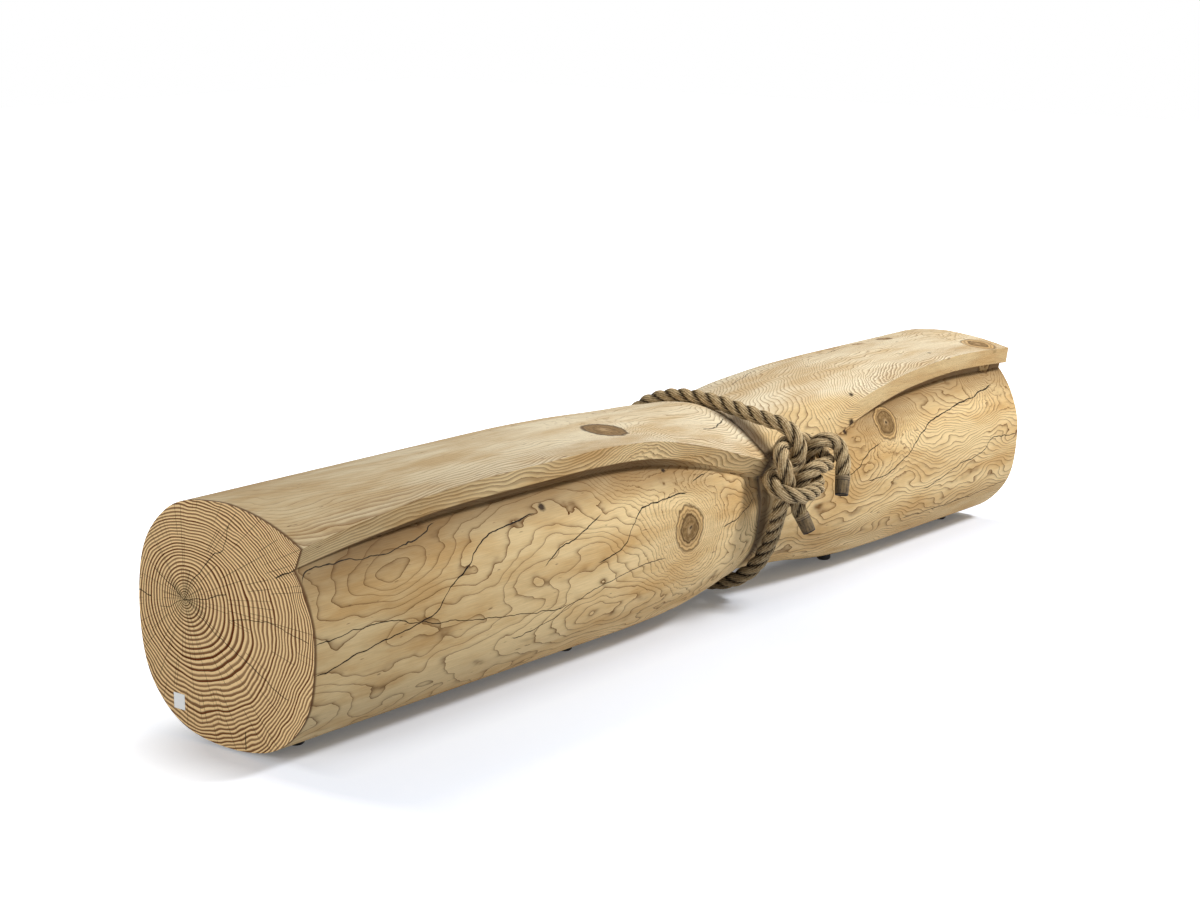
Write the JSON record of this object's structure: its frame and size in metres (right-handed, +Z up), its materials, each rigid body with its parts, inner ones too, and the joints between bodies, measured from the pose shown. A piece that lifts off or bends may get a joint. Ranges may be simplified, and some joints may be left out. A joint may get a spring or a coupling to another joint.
{
  "type": "log bench",
  "caption": "Long carved log bench with a rolled lip along its front, drawn in at a rope-bound waist with a reef knot, standing on low round glides.",
  "frame": {"origin": "on the ground under the middle of the trunk", "axes": "+X along the trunk from its near end to its far end, +Z up, the rolled lip and the knot face -Y"},
  "size_m": [2.26, 0.537, 0.4334],
  "materials": {
    "cedar": "oiled, sanded smooth",
    "jute": "hairy natural fibre",
    "shrink_sleeve": "matte",
    "black_nylon": "satin",
    "zinc_steel": "zinc plated",
    "plate_enamel": "satin"
  },
  "bodies": {
    "root": {"log": "cedar", "rope": "jute", "upper_sleeve": "shrink_sleeve", "lower_sleeve": "shrink_sleeve", "glide_front_1": "black_nylon", "glide_front_2": "black_nylon", "glide_front_3": "black_nylon", "glide_front_4": "black_nylon", "glide_back_1": "black_nylon", "glide_back_2": "black_nylon", "glide_back_3": "black_nylon", "glide_back_4": "black_nylon", "glide_screws": "zinc_steel", "end_plate": "plate_enamel"}
  },
  "joints": []
}
